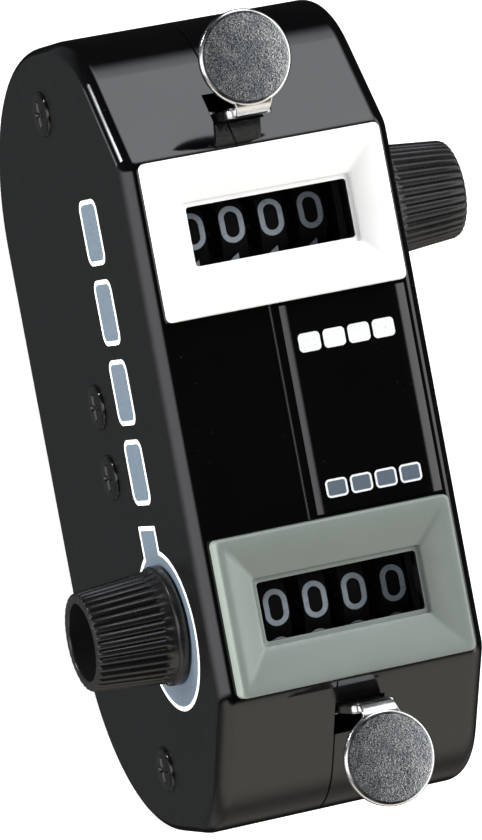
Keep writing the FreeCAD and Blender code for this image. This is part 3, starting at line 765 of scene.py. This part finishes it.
def digit_strokes():
    """The centre lines of the ten digits, each as (points, whether the line is closed)."""
    w, h = DIGIT_HALF_WIDTH, DIGIT_HALF_HEIGHT
    bowl = h - w                # height of the round ends' middles
    stadium = arc(0, bowl, w, w, 0, 180) + arc(0, -bowl, w, w, 180, 360)
    lower_ring = arc(0, -bowl, w, w, 0, 360, 28)[:-1]
    hook = [(-w, -bowl)] + arc(0, bowl, w, w, 180, 25)
    six = [(lower_ring, True), (hook, False)]
    nine = [([(-x, -y) for x, y in line], closed) for line, closed in six]
    return [
        [(stadium, True)],
        [([(-0.75, h - 0.75), (0.1, h), (0.1, -h)], False)],
        [(arc(0, bowl, w, w, 180, -38) + [(-w, -h), (w, -h)], False)],
        [(arc(0, h / 2, w * 0.9, h / 2, 165, -90), False),
         (arc(0, -h / 2, w, h / 2, 90, -165), False)],
        [([(0.35, h), (-w, -0.7), (w, -0.7)], False), ([(0.6, 0.6), (0.6, -h)], False)],
        [([(w * 0.9, h), (-w * 0.8, h), (-w * 0.9, 0.25)], False),
         (arc(-0.05, -0.78, w + 0.02, w + 0.02, 140, -150), False)],
        six,
        [([(-w, h), (w, h), (-0.35, -h)], False)],
        [(arc(0, h * 0.52, w * 0.85, h * 0.48, 0, 360, 26)[:-1], True),
         (arc(0, -h * 0.45, w, h * 0.55, 0, 360, 28)[:-1], True)],
        nine,
    ]


def finer(line, closed):
    """The same line with no step longer than the longest one allowed."""
    result = []
    pairs = list(zip(line, line[1:] + line[:1])) if closed else list(zip(line, line[1:]))
    for start, end in pairs:
        steps = max(1, math.ceil(math.dist(start, end) / LONGEST_STEP))
        result += [(start[0] + (end[0] - start[0]) * step / steps,
                    start[1] + (end[1] - start[1]) * step / steps) for step in range(steps)]
    return result if closed else result + [line[-1]]


def stroke_edges(line, closed):
    """For each point of a centre line, the points half a stroke to its left and right."""
    edges = []
    last = len(line) - 1
    for index, (x, y) in enumerate(line):
        before = Vector(line[index - 1] if closed or index > 0 else line[0])
        after = Vector(line[(index + 1) % len(line)] if closed or index < last else line[last])
        here = Vector((x, y))
        arriving = (here - before).normalized() if before != here else (after - here).normalized()
        leaving = (after - here).normalized() if after != here else arriving
        along = (arriving + leaving).normalized()
        reach = STROKE / 2 / max(SHARPEST_BEND, along.dot(arriving))
        across = Vector((-along.y, along.x)) * reach
        edges.append(((x + across.x, y + across.y), (x - across.x, y - across.y)))
    return edges


def numerals(wheel, lead):
    """All ten digits, as raised ink wrapped round one wheel's band."""
    low, high = box_mm("white_" + wheel + "_wheel")
    middle = (low + high) / 2
    band = (high.y - low.y) / 2
    shape = Shape()
    for digit, strokes in enumerate(digit_strokes()):
        start = math.radians(lead - DIGIT_STEP * digit)
        for line, closed in strokes:
            rings = []
            for left, right in stroke_edges(finer(line, closed), closed):
                ring = []
                for (u, v), lift in [(left, 0), (left, INK_HEIGHT), (right, INK_HEIGHT), (right, 0)]:
                    angle = start + v / band
                    ring.append((middle.x + u, middle.y + (band + lift) * math.sin(angle),
                                 middle.z + (band + lift) * math.cos(angle)))
                rings.append(ring)
            shape.loft(rings, joined=closed, caps=not closed)
    return shape


for counter, turn in COUNTERS:
    for wheel in WHEELS:
        lead = WHITE_LEAD if counter == "white" else 0.0
        add_piece(counter + "_" + wheel + "_numerals", numerals(wheel, lead), turn, numeral_ink,
                  counter + "_" + wheel)

# ---------------------------------------------------------------- printed marks
MARK_HEIGHT = 0.03
MARKS_PER_ROW = 4
SMALLEST_CORNER = 0.05
OUTLINE = 0.6                   # white outline of the blue marks on the side
FRONT_OUTLINE = 0.28            # and on the label panel
FRONT_LEFT = 0.55               # rows of marks on the label panel
FRONT_RIGHT = 14.45
FRONT_GAP = 0.45
FRONT_CORNER = 0.6
WHITE_ROW = (7.5, 10.05)        # from y to y
BLUE_ROW = (-12.3, -9.8)
SIDE_MARK_LENGTH = 9.0
SIDE_MARK_PITCH = 11.0
SIDE_FIRST_Y = -9.0
SIDE_ROW = (36.6, 43.9)         # from z to z
SIDE_CORNER = 1.6
RING_Y = -26.3
RING_Z = 41.1
RING_RADIUS = 11.1
RING_INNER_RADIUS = 6.0
CIRCLE_POINTS = 96
BAR_END_Y = -11.9
BAR_DROP = 1.4                  # the bar's middle lies this far under the ring's
BAR_HALF_WIDTH = 3.45
BAR_CORNER = 0.3
BAR_LOW_SHARE = 0.6             # layers that overlap, as shares of the height of a mark
RING_HIGH_SHARE = 1.3
BAR_HIGH_SHARE = 1.6


def on_front(a, b, height):
    return (a, b, PANEL_Z + height)


def on_side(a, b, height):
    return (SIDE_X - height, a, b)


def add_mark(shape, place, outline, hole, height):
    """A thin printed patch. The hole, if any, has as many points as the outline."""
    rings = [[place(a, b, 0) for a, b in outline], [place(a, b, height) for a, b in outline]]
    if hole:
        rings += [[place(a, b, height) for a, b in hole], [place(a, b, 0) for a, b in hole]]
    shape.loft(rings, caps=not hole)


def block(a_low, a_high, b_low, b_high, inset, radius):
    """A rounded rectangle between limits, drawn in by an inset."""
    outline = rounded_rectangle((a_high - a_low) / 2 - inset, (b_high - b_low) / 2 - inset,
                                max(SMALLEST_CORNER, radius - inset))
    return [((a_low + a_high) / 2 + a, (b_low + b_high) / 2 + b) for a, b in outline]


def circle(a, b, radius):
    return arc(a, b, radius, radius, 0, 360, CIRCLE_POINTS)[:-1]


def outlined_mark(white, blue, place, limits, outline, corner):
    inner = block(*limits, outline, corner)
    add_mark(white, place, block(*limits, 0, corner), inner, MARK_HEIGHT)
    add_mark(blue, place, inner, None, MARK_HEIGHT)


def front_marks(white, blue):
    width = (FRONT_RIGHT - FRONT_LEFT + FRONT_GAP) / MARKS_PER_ROW
    for index in range(MARKS_PER_ROW):
        left = FRONT_LEFT + index * width
        right = left + width - FRONT_GAP
        add_mark(white, on_front, block(left, right, *WHITE_ROW, 0, FRONT_CORNER), None, MARK_HEIGHT)
        outlined_mark(white, blue, on_front, (left, right, *BLUE_ROW), FRONT_OUTLINE, FRONT_CORNER)


def side_marks(white, blue):
    for index in range(MARKS_PER_ROW):
        start = SIDE_FIRST_Y + index * SIDE_MARK_PITCH
        outlined_mark(white, blue, on_side, (start, start + SIDE_MARK_LENGTH, *SIDE_ROW), OUTLINE,
                      SIDE_CORNER)
    bar_z = RING_Z - BAR_DROP
    bar = (RING_Y + RING_RADIUS / 2, BAR_END_Y, bar_z - BAR_HALF_WIDTH, bar_z + BAR_HALF_WIDTH)
    hole = circle(RING_Y, RING_Z, RING_INNER_RADIUS)
    add_mark(white, on_side, block(*bar, 0, BAR_CORNER), None, MARK_HEIGHT * BAR_LOW_SHARE)
    add_mark(white, on_side, circle(RING_Y, RING_Z, RING_RADIUS), hole, MARK_HEIGHT)
    add_mark(blue, on_side, circle(RING_Y, RING_Z, RING_RADIUS - OUTLINE), hole,
             MARK_HEIGHT * RING_HIGH_SHARE)
    add_mark(blue, on_side, block(*bar, OUTLINE, BAR_CORNER), None, MARK_HEIGHT * BAR_HIGH_SHARE)


white_marks, blue_marks = Shape(), Shape()
front_marks(white_marks, blue_marks)
side_marks(white_marks, blue_marks)
add_piece("white_marks", white_marks, 1, white_ink, "housing")
add_piece("blue_marks", blue_marks, 1, blue_ink, "housing")

# ---------------------------------------------------------------- parting line
SEAM_X = -2.38                  # middle of the rounded edge that the right shell has at the joint
SEAM_RADIUS = 0.13
SEAM_HALF_LENGTH = 14.6         # from bezel to bezel
PANEL_HEIGHT = 0.5

front_z = PANEL_Z - PANEL_HEIGHT
seam_section = arc(SEAM_X, front_z, SEAM_RADIUS, SEAM_RADIUS, 0, 180, steps=12)
seam_edge = Shape()
seam_edge.loft([[(x, y, z) for x, z in seam_section] for y in [-SEAM_HALF_LENGTH, SEAM_HALF_LENGTH]],
               caps=True)
add_piece("seam_edge", seam_edge, 1, looks["housing_black"], "housing")

# ---------------------------------------------------------------- studio
FLOOR_HALF = 2.0                # metres, like everything in this section
CAMERA_LENS = 257.14            # millimetres, as is the sensor
SENSOR_WIDTH = 36.0
CAMERA_PLACE = (-0.27433, 0.02556, 0.8105)
CAMERA_AIM = (-0.0093, 0.0003, 0.057)
CAMERA_UP = (0.1847, 0.9823, 0.0321)
DIM_ROOM = 0.012                # brightness between the soft boxes
BACKDROP = 0.80                 # brightness of the paper behind the object


def add_floor():
    mesh = bpy.data.meshes.new("floor")
    corners = [(-FLOOR_HALF, -FLOOR_HALF, 0), (FLOOR_HALF, -FLOOR_HALF, 0),
               (FLOOR_HALF, FLOOR_HALF, 0), (-FLOOR_HALF, FLOOR_HALF, 0)]
    mesh.from_pydata(corners, [], [(0, 1, 2, 3)])
    mesh.materials.append(floor_paper())
    floor = bpy.data.objects.new("floor", mesh)
    floor.visible_glossy = False
    bpy.context.scene.collection.objects.link(floor)


def add_light(name, place, target, size, watts, color):
    """A large soft lamp that lights the object but isn't seen in its gloss."""
    data = bpy.data.lights.new(name, "AREA")
    data.shape = "RECTANGLE"
    data.size, data.size_y = size
    data.energy = watts
    data.color = color
    lamp = bpy.data.objects.new(name, data)
    lamp.location = place
    lamp.rotation_euler = (Vector(target) - Vector(place)).to_track_quat("-Z", "Y").to_euler()
    lamp.visible_glossy = False
    lamp.visible_camera = False
    bpy.context.scene.collection.objects.link(lamp)


def until(graph, height, low, high):
    """1 up to the low height and 0 from the high one on."""
    return graph.ramp(height, low, high, start=1.0, end=0.0)


def band(graph, height, low, high, soft):
    """1 between two heights, with soft edges."""
    return graph.times(graph.ramp(height, low - soft, low + soft),
                       until(graph, height, high - soft, high + soft))


def soft_boxes(graph):
    """The boxes' outlines and colours. A direction's x, y and z go from -1 to 1."""
    x, y, z = graph.split(graph.position)
    ahead = graph.times(graph.ramp(z, -0.08, 0.38), until(graph, z, 0.64, 0.76),
                        graph.ramp(y, 0.45, 0.70), band(graph, x, 0.06, 0.50, 0.10))
    behind = graph.times(band(graph, z, -0.75, 0.60, 0.12), until(graph, y, -0.60, -0.30),
                         graph.ramp(z, -0.35, 0.25, start=0.22, end=1.0))
    left = graph.times(graph.ramp(z, -0.85, 0.45), until(graph, x, -0.45, -0.10),
                       band(graph, y, -0.22, 0.22, 0.08))
    right = graph.times(band(graph, z, 0.42, 0.74, 0.04), graph.ramp(x, 0.50, 0.66))
    slope = graph.math("SUBTRACT", graph.times(y, 0.82), graph.times(z, 0.57))
    corner = graph.times(band(graph, slope, 0.51, 0.552, 0.018),
                         band(graph, x, -0.77, -0.68, 0.05), graph.ramp(y, 0.20, 0.45))
    below = graph.times(until(graph, z, -0.70, -0.20), until(graph, x, -0.20, 0.0))
    return [(ahead, rgb(3.6, 3.7, 3.9)), (behind, rgb(1.21, 1.13, 1.00)),
            (left, rgb(2.3, 2.3, 2.4)), (right, grey(2.6)), (corner, rgb(92.0, 96.0, 100.0)),
            (below, rgb(0.097, 0.101, 0.104))]


def studio_world():
    """Dark surroundings with soft boxes at the sides, and pale paper behind the object."""
    world = bpy.data.worlds.new("studio")
    world.use_nodes = True
    world.node_tree.nodes.clear()
    graph = Graph(world.node_tree, "Generated")
    total = grey(0.0)
    for share, color in soft_boxes(graph):
        total = graph.plus(total, graph.blend(share, grey(0.0), color))
    total = graph.plus(total, grey(DIM_ROOM))
    seen = graph.add("ShaderNodeLightPath").outputs["Is Camera Ray"]
    background = graph.add("ShaderNodeBackground")
    graph.feed(background.inputs["Color"], graph.blend(seen, total, grey(BACKDROP)))
    output = graph.add("ShaderNodeOutputWorld")
    graph.feed(output.inputs["Surface"], background.outputs[0])
    bpy.context.scene.world = world


def add_camera():
    """A long lens in front of the counter, a little to the left of square."""
    data = bpy.data.cameras.new("camera")
    data.lens = CAMERA_LENS
    data.sensor_width = SENSOR_WIDTH
    camera = bpy.data.objects.new("camera", data)
    place = Vector(CAMERA_PLACE)
    back = (place - Vector(CAMERA_AIM)).normalized()
    right = Vector(CAMERA_UP).cross(back).normalized()
    up = back.cross(right)
    camera.matrix_world = Matrix.Translation(place) @ Matrix((right, up, back)).transposed().to_4x4()
    bpy.context.scene.collection.objects.link(camera)
    bpy.context.scene.camera = camera


bpy.context.scene.view_settings.view_transform = "Standard"
add_floor()
add_light("key", place=(-0.60, 0.05, 0.055), target=(0.0, 0.0, 0.055), size=(0.60, 0.10),
          watts=8.0, color=(1.0, 0.98, 0.94))
add_light("fill", place=(1.00, 0.30, 0.53), target=(0.0, 0.0, 0.05), size=(0.60, 0.60),
          watts=20.0, color=(1.0, 1.0, 1.0))
studio_world()
add_camera()
